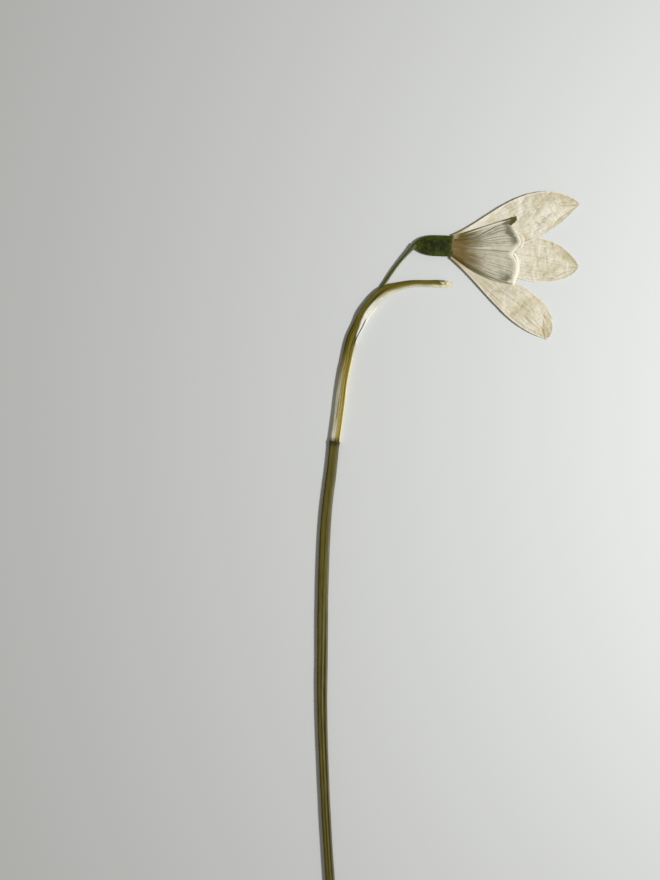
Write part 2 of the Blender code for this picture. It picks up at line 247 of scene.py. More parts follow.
class SnowdropColours(bpy.types.PropertyGroup):
    """Colours of the dried tissues and of the stage."""

    cream: colour("Tepal cream", "Bleached outer tepal", "#F6F2E4")
    fawn: colour("Tepal fawn", "Yellowed patches of the outer tepals", "#E4DDC2")
    # Also painted shade in the creases and folds of the outer tepals.
    vein: colour("Tepal vein", "Dried veins of the outer tepals", "#8E866A")
    tan: colour("Tepal tan", "Browned tips, rims and folds", "#B9AC7A")
    parchment: colour("Inner tepal", "Bleached inner tepal between its veins", "#E6E2CF")
    slate: colour("Inner vein", "Green-grey veins of the inner tepals", "#74735A")
    umber: colour("Inner base", "Brown base where the anthers show through", "#7A6435")
    moss: colour("Green mark", "Green marks near the rims of the inner tepals", "#606449")
    # Also the painted shadow lines along the front inner tepal's upper edge and rim.
    olive_mark_and_shade: colour("Dark green mark", "The folded tip's dark mark", "#55521E")
    # Also the painted highlight along the outer tepals' edges and along the side inner tepal's folded upper
    # edge.
    rim: colour("Rim cream", "Frilled rims of the inner tepals", "#F6F2E4")
    stalk: colour("Stalk olive", "Dried scape", "#5B5325")
    # Also painted shade in the scape's grooves and on the pedicel's left half.
    stalk_dark_and_shade: colour("Stalk groove", "Shrunken grooves of the stalk", "#2E2A11")
    # Painted lighter as a highlight along the scape's middle rib.
    stalk_pale_and_highlight: colour("Stalk ridge", "Paler ridge between the grooves", "#847D48")
    stalk_grey: colour("Stalk bloom", "Greyish waxy bloom on one flank", "#7E7A62")
    # Also a painted sheen that lightens the scape's left flank, the side away from the light.
    thread: colour("Pedicel green", "Dried pedicel", "#5C5F3A")
    # A painted highlight on the pedicel's right side, which faces the light.
    thread_highlight: colour("Pedicel edge", "Paler edge of the pedicel", "#D2D6B4")
    sheath_green: colour("Sheath green", "Green keels of the spathe", "#645E26")
    sheath_gold: colour("Sheath gold", "Yellowed keel near the node", "#A08E34")
    # Also the painted highlight along the spathe's right edge, which faces the light.
    sheath_rim_and_highlight: colour("Sheath rim", "Pale edges and frayed tip of the sheath", "#F6ECBE")
    membrane: colour("Sheath membrane", "Bleached membrane between the keels", "#FFFFF3")
    # Darkens the middle so that the thin edges stay lighter, as painted light shining through them.
    ovary: colour("Ovary green", "Dried ovary", "#3E4919")
    ovary_dark: colour("Ovary hollow", "Wrinkles of the ovary", "#1F2408")
    anther: colour("Anther orange", "Dried anthers", "#A8702A")
    style: colour("Style straw", "Dried style", "#C9BC8C")
    floor: colour("Floor", "Pale card under the flower", "#D5D9DC")


def hump(u, rise, fall):
    """u to the power rise times (1 - u) to the power fall, scaled so that its highest value is 1."""
    peak = rise / (rise + fall)
    return (u**rise * (1 - u) ** fall) / (peak**rise * (1 - peak) ** fall)


def smooth(low, high, value):
    """0 on low's side, 1 on high's side, and an S curve between."""
    t = np.clip((value - low) / (high - low), 0.0, 1.0)
    return t * t * (3 - 2 * t)


def line(distance, width):
    """1 on a line and 0 away from it: e to the minus (distance over width) squared."""
    return np.exp(-((distance / width) ** 2))


def noise(x, y, seed):
    """Smooth heights from -1 to 1: a fixed scrambled height at each whole-number point, and an S-shaped blend
    of the four around (x, y) between them."""
    column, row = np.floor(x), np.floor(y)
    across, up = x - column, y - row
    across, up = across * across * (3 - 2 * across), up * up * (3 - 2 * up)

    def height(i, j):
        scrambled = np.sin(i * 127.1 + j * 311.7 + seed * 74.7) * 43758.5453
        return 2 * (scrambled - np.floor(scrambled)) - 1

    low = height(column, row) * (1 - across) + height(column + 1, row) * across
    high = height(column, row + 1) * (1 - across) + height(column + 1, row + 1) * across
    return low * (1 - up) + high * up


def through(knots, x):
    """A smooth curve through (place, value) knots: a cubic between each two, whose slope at a knot is that of
    a parabola through it and its neighbours, or of a straight line at the first and last."""
    places, values = np.array(knots, float).T
    slopes = np.gradient(values, places)
    i = np.clip(np.searchsorted(places, x) - 1, 0, len(places) - 2)
    gap = places[i + 1] - places[i]
    t = (x - places[i]) / gap
    start = (1 + 2 * t) * (1 - t) ** 2 * values[i] + t * (1 - t) ** 2 * gap * slopes[i]
    return start + t**2 * (3 - 2 * t) * values[i + 1] + t**2 * (t - 1) * gap * slopes[i + 1]


def crumple(x, y, seed):
    """Noise at one, two and four times the detail, added with halving strength."""
    return (noise(x, y, seed) + noise(2 * x, 2 * y, seed + 1) / 2 + noise(4 * x, 4 * y, seed + 2) / 4) / 1.4


def folds(x, y, seed):
    """Noise folded at 0, so that its hollows are sharp creases and its tops are round."""
    return 1.6 * np.abs(noise(x, y, seed)) ** 0.8 - 0.5


def net(x, y, seed, width):
    """1 on the creases of folds, where its noise passes 0, and 0 away from them."""
    return line(noise(x, y, seed), width)


def to_segment(x, y, start, end):
    """The distance from each (x, y) to a straight segment."""
    start, end = np.array(start), np.array(end)
    span = end - start
    t = np.clip(((x - start[0]) * span[0] + (y - start[1]) * span[1]) / span.dot(span), 0.0, 1.0)
    return np.hypot(x - start[0] - t * span[0], y - start[1] - t * span[1])


def grid(rows, columns):
    """Two parameters on a grid: one from 0 to 1 down its rows, and one from -1 to 1 along its columns."""
    return np.linspace(0, 1, rows)[:, None], np.linspace(-1, 1, columns)[None, :]


def section(columns):
    """The turn of each point round a section, over the top from left to right, as a row."""
    return (np.arange(columns) + 0.5)[None, :] * 2 * math.pi / columns


def directions(degrees):
    """The level unit vector along a direction, its cosine and sine, and the one a quarter turn to its
    left."""
    turn = math.radians(degrees)
    return np.array((math.cos(turn), math.sin(turn), 0.0)), np.array((-math.sin(turn), math.cos(turn), 0.0))


def smooth_route(points, count):
    """count points evenly spaced along a Catmull-Rom curve through points, their shares of the way along as a
    column, and the level unit vector to the left at each."""
    points = np.array(points, float)
    padded = np.vstack((2 * points[0] - points[1], points, 2 * points[-1] - points[-2]))
    a, b, c, d = (padded[i : len(padded) - 3 + i, None] for i in range(4))
    t = np.linspace(0, 1, 40, endpoint=False)[None, :, None]
    curve = 0.5 * (2 * b + (c - a) * t + (2 * a - 5 * b + 4 * c - d) * t**2 + (3 * b - a - 3 * c + d) * t**3)
    curve = np.vstack((curve.reshape(-1, points.shape[1]), points[-1]))
    travelled = np.concatenate(((0.0,), np.cumsum(np.linalg.norm(np.diff(curve, axis=0), axis=1))))
    places = np.linspace(0, travelled[-1], count)
    route = np.column_stack([np.interp(places, travelled, axis) for axis in curve.T])
    heading = np.gradient(route, axis=0)
    left = np.column_stack((-heading[:, 1], heading[:, 0], np.zeros(count)))
    left /= np.linalg.norm(left, axis=1, keepdims=True)
    return route, np.linspace(0, 1, count)[:, None], left


def beside(route, left, across):
    """A row of places for each point of a route, at the distances across to its left."""
    return route[:, None] + left[:, None] * across[..., None]


def from_node(route):
    """Turns level or raised route points counted from the node into places."""
    route = np.array(route, float)
    if route.shape[1] == 2:
        route = np.column_stack((route, np.zeros(len(route))))
    return route + NODE


def new_piece(name, points, faces, marks, material, node, slot):
    """Makes a mesh from points in millimetres, keeps each of marks as a named value on its points, and hands
    the piece to the frame in place of a CAD node."""
    mesh = bpy.data.meshes.new(name)
    mesh.from_pydata((points * MM).tolist(), [], faces)
    for label, values in marks.items():
        kept = mesh.attributes.new(label, "FLOAT", "POINT")
        kept.data.foreach_set("value", values.astype(np.float32).ravel())
    mesh.shade_smooth()
    mesh.set_sharp_from_angle(angle=SHARP_ANGLE)
    mesh.materials.append(material)
    piece = bpy.data.objects.new(name, mesh)
    bpy.context.scene.collection.objects.link(piece)
    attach(piece, "root")
    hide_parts(node)


def thin_sheet(name, middle, thickness, marks, **handing):
    """A closed sheet around the grid middle, whose rows run along and columns across to the left. Each point
    has one twin above and one below, half the thickness away along the surface's normal, and a strip closes
    the rim."""
    normal = np.cross(np.gradient(middle, axis=0), np.gradient(middle, axis=1))
    normal /= np.linalg.norm(normal, axis=2, keepdims=True) + 1e-12
    half = normal * (np.broadcast_to(thickness, middle.shape[:2])[..., None] / 2)
    points = np.concatenate(((middle + half).reshape(-1, 3), (middle - half).reshape(-1, 3)))
    top = np.arange(middle.shape[0] * middle.shape[1]).reshape(middle.shape[:2])
    upper = np.stack((top[:-1, :-1], top[1:, :-1], top[1:, 1:], top[:-1, 1:]), axis=2).reshape(-1, 4)
    lower = upper[:, ::-1] + top.size
    rim = np.concatenate((top[:-1, 0], top[-1, :-1], top[:0:-1, -1], top[0, :0:-1]))
    after = np.roll(rim, -1)
    strip = np.stack((rim + top.size, after + top.size, after, rim), axis=1)
    faces = np.concatenate((upper, lower, strip)).tolist()
    doubled = {k: np.tile(np.broadcast_to(v, top.shape).ravel(), 2) for k, v in marks.items()}
    new_piece(name, points, faces, doubled, **handing)


def closed_tube(name, rings, marks, **handing):
    """A closed solid from rings of points, whose columns go round over the top from left to right. A fan of
    triangles to the middle closes each end."""
    rows, columns = rings.shape[:2]
    points = np.concatenate((rings.reshape(-1, 3), rings[0].mean(0)[None], rings[-1].mean(0)[None]))
    ring = np.arange(rows * columns).reshape(rows, columns)
    after = np.roll(ring, -1, axis=1)
    wall = np.stack((ring[:-1], after[:-1], after[1:], ring[1:]), axis=2).reshape(-1, 4)
    first, last = rows * columns, rows * columns + 1
    start = np.stack((np.full(columns, first), after[0], ring[0]), axis=1)
    end = np.stack((np.full(columns, last), ring[-1], after[-1]), axis=1)
    faces = wall.tolist() + start.tolist() + end.tolist()
    kept = {}
    for label, values in marks.items():
        values = np.broadcast_to(values, (rows, columns))
        kept[label] = np.concatenate((values.ravel(), (values[0].mean(), values[-1].mean())))
    new_piece(name, points, faces, kept, **handing)


def add(tree, kind, inputs=None, **settings):
    """Adds a shader node with its settings and inputs. An input that is a node links its first output, one
    that is a socket links that socket, and any other is a value."""
    made = tree.nodes.new("ShaderNode" + kind)
    for label, value in settings.items():
        setattr(made, label, value)
    for label, value in (inputs or {}).items():
        if isinstance(value, bpy.types.Node):
            value = value.outputs[0]
        if isinstance(value, bpy.types.NodeSocket):
            tree.links.new(value, made.inputs[label])
        else:
            made.inputs[label].default_value = value
    return made


def new_material(name):
    """An empty node material, its tree and a function that reads one of the marks kept on a piece's
    points."""
    material = bpy.data.materials.new(name)
    material.use_nodes = True
    tree = material.node_tree
    tree.nodes.clear()

    def mark(label):
        return add(tree, "Attribute", attribute_name=label).outputs["Fac"]

    return material, tree, mark


def speckle(tree, width, detail=3.0, stretch=(1.0, 1.0, 1.0)):
    """Noise on the piece's own place in space, in cells width millimetres wide that stretch divides."""
    place = add(tree, "TexCoord").outputs["Object"]
    turned = add(tree, "Mapping", {"Vector": place, "Scale": stretch})
    cells = {"Vector": turned, "Scale": 1 / (width * MM), "Detail": detail, "Roughness": 0.55}
    return add(tree, "TexNoise", cells)


def layered(tree, shade, *layers):
    """Lays colours over a shade in turn. Each layer is its strength at a place, and its colour."""
    for strength, over in layers:
        shade = add(tree, "MixRGB", {"Fac": strength, "Color1": shade, "Color2": over})
    return shade


def grained(tree, shade, cells, low, high):
    """Multiplies a shade by low where cells are dark, by high where they are light, and between elsewhere."""
    limits = {"From Min": 0.3, "From Max": 0.7, "To Min": low, "To Max": high}
    grain = add(tree, "MapRange", {"Value": cells, **limits})
    return add(tree, "MixRGB", {"Fac": 1.0, "Color1": shade, "Color2": grain}, blend_type="MULTIPLY")


def skin(tree, shade, height, depth, roughness, shine):
    """A dull skin whose height stands out by depth millimetres. Also gives the bump of that height."""
    bump = add(tree, "Bump", {"Height": height, "Distance": depth * MM})
    finish = {"Roughness": roughness, "IOR": TISSUE_IOR, "Specular IOR Level": shine}
    return add(tree, "BsdfPrincipled", {"Base Color": shade, "Normal": bump, **finish}), bump


def finish_solid(tree, *finish):
    """Ends the material of a solid piece with a skin."""
    add(tree, "OutputMaterial", {"Surface": skin(tree, *finish)[0]})


def finish_thin(tree, shade, height, lit, clear, roughness, shine):
    """Ends a thin tissue's material: its skin, mixed with a share lit that light shines through and a share
    clear that can be seen through."""
    front, bump = skin(tree, shade, height, 0.02, roughness, shine)
    glow = add(tree, "BsdfTranslucent", {"Color": shade, "Normal": bump})
    tissue = add(tree, "MixShader", {0: lit, 1: front, 2: glow})
    seen = add(tree, "MixShader", {0: clear, 1: tissue, 2: add(tree, "BsdfTransparent")})
    add(tree, "OutputMaterial", {"Surface": seen})


def dried_petal(colours):
    """Outer tepal tissue, water and pigment gone: a papery skin of empty cells. It is matt, passes light
    through, and shows grey-brown veins, yellowed patches, and browned folds and tips. The vein colour also
    paints shade into its creases and folds, and a light line all round its edge is a painted highlight."""
    material, tree, mark = new_material("dried_petal")
    patches = add(tree, "MapRange", {"Value": speckle(tree, 1 / 0.42), "From Min": 0.4, "From Max": 0.68})
    shade = layered(
        tree, colours.cream, (patches, colours.fawn), (mark("vein"), colours.vein),
        (mark("stain"), colours.tan), (mark("pale_and_highlight"), colours.rim),
    )
    cells = speckle(tree, 1 / 5.2, 2.0)
    shade = grained(tree, shade, cells, 0.9, 1.04)
    height = add(tree, "Math", {0: cells, 1: mark("vein")}, operation="SUBTRACT")
    finish_thin(tree, shade, height, 0.15, 0.05, 0.62, 0.25)
    return material


def dried_inner_petal(colours):
    """Inner tepal tissue: thicker than the outer, bleached between green-grey veins, brown at the base where
    the anthers show through, green near the rim, and a cream frilled rim. The dark colour also paints thin
    shadows along the front tepal's rim and upper edge, and the rim colour a highlight along the side tepal's
    folded edge."""
    material, tree, mark = new_material("dried_inner_petal")
    patches = add(tree, "MapRange", {"Value": speckle(tree, 1 / 0.7), "From Min": 0.35, "From Max": 0.7})
    greener = layered(tree, colours.parchment, (0.12, colours.moss))
    shade = layered(
        tree, colours.parchment, (patches, greener), (mark("green"), colours.moss),
        (mark("stain"), colours.umber), (mark("vein"), colours.slate), (mark("dark"), colours.olive_mark_and_shade),
        (mark("rim"), colours.rim),
    )
    cells = speckle(tree, 1 / 4.6, 2.0)
    height = add(tree, "Math", {0: cells, 1: mark("vein")}, operation="SUBTRACT")
    finish_thin(tree, shade, height, 0.12, 0.03, 0.58, 0.25)
    return material


def dried_sheath(colours):
    """Spathe: two green keels joined by a bleached, see-through membrane, with fine streaks along it and a
    painted highlight along its right edge.
    """
    material, tree, mark = new_material("dried_sheath")
    green = layered(tree, colours.sheath_green, (mark("gold"), colours.sheath_gold))
    shade = layered(
        tree, colours.membrane, (mark("green"), green), (mark("streak"), colours.stalk_dark_and_shade),
        (mark("rim"), colours.sheath_rim_and_highlight),
    )
    cells = speckle(tree, 1 / 3.8)
    shade = grained(tree, shade, cells, 0.84, 1.12)
    height = add(tree, "Math", {0: cells, 1: mark("streak")}, operation="SUBTRACT")
    clear = add(tree, "MapRange", {"Value": mark("green"), "To Min": 0.04, "To Max": 0.0})
    finish_thin(tree, shade, height, 0.15, clear, 0.55, 0.06)
    return material


def dried_stalk(colours, name, base, pale_and_highlight):
    """Scape and pedicel: a shrunken olive stalk with dark grooves, fine fibres along it and a dull surface.
    Its colours also hold painted light: shade in the scape's grooves and on the pedicel's left half, a
    highlight along the scape's middle rib and the pedicel's right side, and sheen on the scape's left flank."""
    material, tree, mark = new_material(name)
    shade = layered(
        tree, base, (mark("bloom_and_sheen"), colours.stalk_grey), (mark("groove"), colours.stalk_dark_and_shade),
        (mark("ridge_and_highlight"), pale_and_highlight),
    )
    cells = speckle(tree, 1 / 2.6, stretch=(1.0, 0.12, 1.0))
    finish_solid(tree, grained(tree, shade, cells, 0.8, 1.18), cells, 0.05, 0.62, 0.1)
    return material


def dried_ovary(colours):
    """Ovary: a dark green shrunken capsule with a leathery, finely wrinkled skin, painted darker in its
    middle so that its thin edges look lit through.
    """
    material, tree, mark = new_material("dried_ovary")
    cells = speckle(tree, 1 / 3)
    shade = layered(tree, colours.ovary, (mark("dark_middle_and_wrinkles"), colours.ovary_dark))
    shade = grained(tree, shade, cells, 0.8, 1.15)
    shade = layered(tree, shade, (mark("gold"), colours.sheath_green), (mark("rim"), colours.tan))
    finish_solid(tree, shade, cells, 0.05, 0.62, 0.15)
    return material


def dried_dust(name, base, width):
    """Anthers and style: dull dried tissue with a grain of pollen or papillae, width millimetres wide."""
    material, tree, _ = new_material(name)
    cells = speckle(tree, width, 2.0)
    finish_solid(tree, grained(tree, base, cells, 0.75, 1.15), cells, 0.03, 0.85, 0.5)
    return material


def pale_card(colours):
    """Floor: matt pale card."""
    material, tree, _ = new_material("pale_card")
    solid = add(
        tree, "BsdfPrincipled", {"Base Color": colours.floor, "Roughness": 0.9, "Specular IOR Level": 0.1}
    )
    add(tree, "OutputMaterial", {"Surface": solid})
    return material


def make_outer_tepal(which, sizes, material):
    """A spoon-shaped petal. u runs along it and v across. Its half width is a narrow claw that fades as (1 -
    u) squared plus a hump towards the tip, apart for its left and right sides, and its middle line bows to
    one side. Crumples, ripples and creases raise and lower it. s and t are distances along and across it, and
    p and q are those turned and stretched for its crumples."""
    tepal = OUTER_TEPALS[which]
    length, seed = tepal.length, tepal.seed
    along, side = directions(tepal.degrees)
    share, v = grid(*TEPAL_GRID)
    u = 0.998 * (0.45 * share + 0.55 * (1 - np.cos(math.pi * share)) / 2)
    claw = CLAW_HALF_WIDTH * (1 - u) ** 2
    left, right = (claw + width * hump(u, *shape) for width, *shape in (tepal.left, tepal.right))
    half = np.where(v > 0, left, right) * (1 + 0.015 * noise(u * 13, np.sign(v) * 3.5, seed))
    s, t = length * u + 0 * v, v * half
    rim = np.minimum((1 - np.abs(v)) * half, length * (1 - u))

    cosine, sine = math.cos(tepal.lean), math.sin(tepal.lean)
    p, q = (s * cosine + t * sine) / tepal.stretch, (t * cosine - s * sine) * tepal.stretch
    open_part = smooth(0.22, 0.5, u)

    gap = sizes.vein_gap / MM
    phase = v * half.max() / gap + 0.3 * noise(u * 3, v * 3, seed + 40)
    nearest = np.round(phase)
    off_vein = np.abs(phase - nearest) * (half / half.max()) * gap
    strength = 0.5 + 0.5 * noise(nearest * 3.7, u * 7, seed + 50)
    vein = 0.6 * line(off_vein, 0.06) * strength * smooth(0.05, 0.3, u) * smooth(0.0, 0.25, rim)
    weave = noise(p / 1.3, q / 0.22, seed + 60) + noise(p / 0.28, q / 1.0, seed + 70)
    weave = weave * open_part * tepal.weave
    # Crease lines follow the creases of the puckers below; through the vein mark they paint shade into the
    # creases and folds.
    creases = 0.9 * net(p / 1.7, q / 1.15, seed, 0.1) + 0.7 * net(p / 0.85, q / 0.7, seed + 1, 0.16)
    creases = creases * open_part * smooth(0.0, 0.3, rim) * (0.5 + 0.45 * noise(s / 2, t / 2, seed + 3))
    browning = 0.5 + 0.5 * crumple(s / 2.2, t / 1.6, seed + 80)
    stain = 0.42 * smooth(0.84, 1.0, u) * browning
    stain = stain + 0.3 * line(rim - 0.35, 0.22) * smooth(0.55, 0.8, u) * browning
    stain = stain + 0.7 * smooth(0.16, 0.03, u)
    # A painted highlight along the edges, past the claw.
    pale_and_highlight = 0.9 * line(rim, 0.17) * smooth(0.25, 0.45, u)

    puckers = folds(p / 1.7, q / 1.15, seed) + 0.6 * folds(p / 0.85, q / 0.7, seed + 1)
    puckers = puckers + 0.3 * folds(p / 0.42, q / 0.38, seed + 2)
    puckers = puckers * open_part + 0.5 * noise(s / 3.1, t / 1.9, seed + 9) * smooth(0.05, 0.3, u)
    height = sizes.crumple / MM * tepal.crumple * puckers - 0.03 * vein + 0.016 * weave
    height += 0.1 * line(rim, 0.35) * smooth(0.9, 0.3, u)
    height += 0.04 * noise(t / 0.5, s / 7, seed + 30) * smooth(0.02, 0.1, u) * smooth(0.55, 0.3, u)
    if which == "upper":
        ripples = np.sin(s * 2.7 + 0.8 * noise(t, s / 3, 3))
        height += 0.06 * ripples * line(s - 14.5, 2.8) * smooth(-0.1, 0.5, v)
        stain += 0.42 * smooth(0.3, 0.7, v) * smooth(0.55, 0.72, u) * (0.4 + 0.6 * browning)
        stain += 0.26 * smooth(0.62, 0.8, u) * smooth(-0.45, -0.75, v)
        vein *= 0.5 + 0.25 * smooth(0.5, 0.9, u)
    if which == "middle":
        stain += 0.05 + 0.35 * smooth(0.25, 0.6, v) * smooth(0.76, 0.88, u)
        stain += 0.4 * line(rim, 0.4) * smooth(-0.2, -0.6, v) * smooth(0.76, 0.84, u)
        vein *= 0.65
        height -= 0.3 * smooth(0.7, 0.85, u) * sizes.crumple / MM * puckers
    if which == "lower":
        stain += 0.12 * smooth(0.1, 0.3, u) + 0.3 * smooth(0.4, 0.1, u)
        vein *= 0.35 + 0.8 * smooth(0.2, -0.2, v)
    for start, end, depth in tepal.folds:
        fold = depth * line(to_segment(s, t, start, end), 0.12)
        height -= fold
        # A fold is stained tan and painted darker as shade.
        stain += 3.5 * fold
        creases += 2.5 * fold
    for along_spot, across_spot, radius, depth in tepal.spots:
        spot = depth * line(np.hypot(s - along_spot, t - across_spot), radius)
        stain += spot
        creases += 0.5 * spot

    base_height, body_height, tip_height = tepal.heights
    # The mouth is tilted, so a base that is higher up it starts further out.
    base = MOUTH + (0.08 * tepal.offset - BASE_INSET, tepal.offset, 0.0)
    middle = base + along * s[..., None] + side * (t + tepal.bow * hump(u, *BOW_SHAPE))[..., None]
    level = body_height + (base_height - body_height) * smooth(0.2, 0.0, u)
    level = level + (tip_height - body_height) * smooth(0.72, 1.0, u)
    middle[..., 2] = np.maximum(level + height, sizes.tissue / MM / 2 + CLEARANCE)
    marks = {
        "vein": np.clip(vein - 0.14 * weave + 0.3 * creases + 0.4 * smooth(0.09, 0.02, u), 0, 0.8),
        "stain": np.clip(stain, 0, 0.85),
        "pale_and_highlight": pale_and_highlight,
    }
    thin_sheet(
        f"outer_tepal_{which}_petal", middle, sizes.tissue / MM, marks,
        material=material, node=f"outer_tepal_{which}", slot="dried_tepal",
    )


def fan(tepal, u, v):
    """Level places on a fan from the mouth. v picks a ray between its two sides and u goes out along it to
    the rim, a smooth curve through its knots. Its sides bend along smooth curves through theirs. Also gives
    how far out the rim is on each ray."""
    share = (v + 1) / 2
    (base_right, base_left), (fan_right, fan_left) = tepal.base_edges, tepal.fan_edges
    turn = np.radians(fan_right + (fan_left - fan_right) * share)
    out = through(tepal.rim, share)
    bend = np.where(v > 0, through(tepal.left, u), -through(tepal.right, u))
    x = MOUTH[0] - BASE_INSET + 0.15 * v + np.cos(turn) * out * u
    y = MOUTH[1] + base_right + (base_left - base_right) * share + np.sin(turn) * out * u
    return np.stack((x, y + v**2 * bend, 0 * x), axis=2), out


def make_inner_tepal(which, sizes, material):
    """A fan with pleats along its rays and a frilled rim. The front one is crowned: its middle stands over
    the stamens, and its sides and rim come down. rim and to_side are distances to the rim and to the nearer
    side."""
    tepal = INNER_TEPALS[which]
    seed = tepal.seed
    share, v = grid(*FAN_GRID)
    u = 1 - (1 - share) ** 1.25
    middle, out = fan(tepal, u, v)
    width = np.linalg.norm(np.diff(middle, axis=1), axis=2).sum(1)[:, None]
    rim = (1 - u) * out
    to_side = np.minimum(1 + v, 1 - v) / 2 * width

    phase = (v + 1) / 2 * tepal.pleats + 0.9 * noise(u * 1.5, v * 5, seed)
    nearest = np.round(phase)
    off_vein = np.abs(phase - nearest) * width / tepal.pleats
    strength = np.clip(0.6 + 0.5 * noise(nearest * 2.9, u * 3, seed + 2), 0, 1)
    vein = line(off_vein, 0.065) * strength * smooth(0.18, 0.35, u) * smooth(0.3, 1.6, rim)
    fine = noise(v * 23, u * 3, seed + 7) + 0.7 * noise(v * 41, u * 5, seed + 8)
    mottle = noise(middle[..., 0] / 0.5, middle[..., 1] / 0.28, seed + 20)
    mottle = mottle + 0.7 * noise(middle[..., 0] / 0.26, middle[..., 1] / 0.2, seed + 21)
    vein = vein + 0.3 * np.clip(fine, 0, 1) * smooth(0.15, 0.4, u) * smooth(0.2, 1.0, rim)
    reach = u + 0.05 * noise(v * 12, u * 3, seed + 3) + 0.02 * noise(v * 31, u * 5, seed + 10)
    base = smooth(0.66, 0.12, reach - 0.08 * line(v + 1, 0.6))
    blotches = crumple(v * 6, u * 9, seed + 4)
    waves = noise((v + 1) * 11, rim / 2, seed + 5) + 0.5 * noise((v + 1) * 23, rim, seed + 6)

    dark = 0.25 * line(u - 0.19, 0.09) * (0.7 + 0.3 * noise(v * 5, u * 7, seed + 12))
    curl = 0.08 * smooth(0.22, 0.0, rim)
    if which == "front":
        corner = smooth(-0.55, -0.86, v)
        wander = 0.45 * crumple(v * 7, u * 12, seed + 13)
        green = 0.98 * smooth(0.15, 0.4, v) * smooth(0.8, 0.62, v) * line(rim - 1.15 + wander, 0.7)
        to_band = rim - 1.4 + 3.6 * np.maximum(v - 0.7, 0) + wander / 2
        green = green + 0.7 * smooth(0.5, 0.72, v) * line(to_band, 0.75)
        patch = line(rim - 1.9 + 1.6 * wander, 0.9) * smooth(0.05, 0.22, to_side + 0.2 * wander)
        green = green + 0.84 * corner * patch
        green = green + 0.25 * smooth(-0.1, -0.4, v) * line(rim - 1.1 + wander, 0.7) * (1 - corner)
        green = green * (0.75 + 0.25 * blotches) + 0.22 * smooth(0.45, 0.75, u) * smooth(0.2, 0.9, rim)
        dark = dark + 0.75 * line(to_side - 0.03, 0.07) * smooth(0.0, 0.2, -v) * smooth(0.3, 0.45, u)
        # Painted shadows: a dark line along the upper edge and a thin one at the rim.
        dark = dark + 0.55 * line(to_side, 0.09) * smooth(0.0, 0.2, v) * line(u - 0.66, 0.17)
        dark = dark + 0.5 * line(rim, 0.05) * smooth(-0.5, -0.3, v) * smooth(0.9, 0.7, v)
        white = line(rim - 0.06, 0.16) * (0.45 + 0.55 * smooth(-0.5, -0.3, v)) * smooth(0.95, 0.75, v)
        white = white + 0.6 * corner * smooth(1.2, 0.6, rim + wander)
        white = white + 0.4 * line(v + 0.02, 0.16) * smooth(1.2, 0.3, rim)
        white = white * smooth(0.0, 0.2, to_side)
    if which == "side":
        upper_edge = smooth(0.0, 0.3, v) * smooth(0.12, 0.38, u)
        spread = 0.6 * smooth(3.6, 2.4, rim) + 0.4 * smooth(1.7, 1.2, rim)
        dark = dark + smooth(0.3, 0.5, v) * spread * smooth(0.2, 0.33, rim)
        dark = (dark + 0.6 * smooth(0.5, 0.25, u) * smooth(0.03, 0.15, u)) * smooth(0.1, 0.4, v)
        dark = dark + 0.5 * line(to_side - 0.05, 0.13) * upper_edge
        base = base * (0.68 + 0.32 * smooth(0.03, 0.13, u))
        vein = 0.6 * vein
        green = 0.7 * smooth(0.35, 0.6, v) * smooth(0.6, 0.85, u) * smooth(0.3, 0.6, to_side)
        # Its second term paints a highlight along the folded upper edge.
        white = line(rim, 0.24) + 0.95 * line(to_side - 0.36, 0.11) * upper_edge * smooth(2.0, 3.0, rim)
    if which == "back":
        outer_part = smooth(0.25, 0.4, u) * smooth(0.9, 1.6, rim)
        dark = dark + 0.55 * line(to_side, 0.11) * smooth(0.0, -0.3, v) * outer_part
        green = 0.25 * smooth(0.4, 0.7, v) * smooth(0.3, 0.5, rim)
        white = smooth(0.55, 0.3, rim)
        curl = 0.25 * smooth(0.6, 0.0, rim)

    crown = (1 - np.abs(v) ** np.where(v > 0, 4, 9)) * (1 - 0.55 * smooth(0.72, 1.0, u))
    height = tepal.edge_height + (tepal.crown_height - tepal.edge_height) * crown
    if which == "front":
        height -= 0.1 * smooth(0.55, 1.0, v) * (1 - line(u - 0.58, 0.2))
    height = height + 0.014 * np.cos(2 * math.pi * phase) * smooth(0.1, 0.4, u) * smooth(0.0, 1.0, rim)
    height += 0.016 * fine * smooth(0.1, 0.4, u) + 0.03 * noise(v * 7, u * 9, seed + 9) * smooth(0.2, 0.5, u)
    height += sizes.frill / MM * waves * smooth(1.3, 0.1, rim) - curl
    middle[..., 2] = height + 0.03 * line(to_side, 0.16)
    thickness = sizes.tissue / MM * (1 + 0.6 * line(rim, 0.25))
    marks = {
        "vein": np.clip(vein + 0.14 * mottle * smooth(0.25, 0.45, u) * smooth(0.1, 0.4, rim), 0, 0.8),
        "stain": np.clip(base * (1 + 0.15 * blotches), 0, 1),
        "green": np.clip(green, 0, 0.9),
        "dark": np.clip(dark, 0, 1),
        "rim": np.clip(white, 0, 1),
    }
    thin_sheet(
        f"inner_tepal_{which}_petal", middle, thickness, marks,
        material=material, node=f"inner_tepal_{which}", slot="dried_inner_tepal",
    )


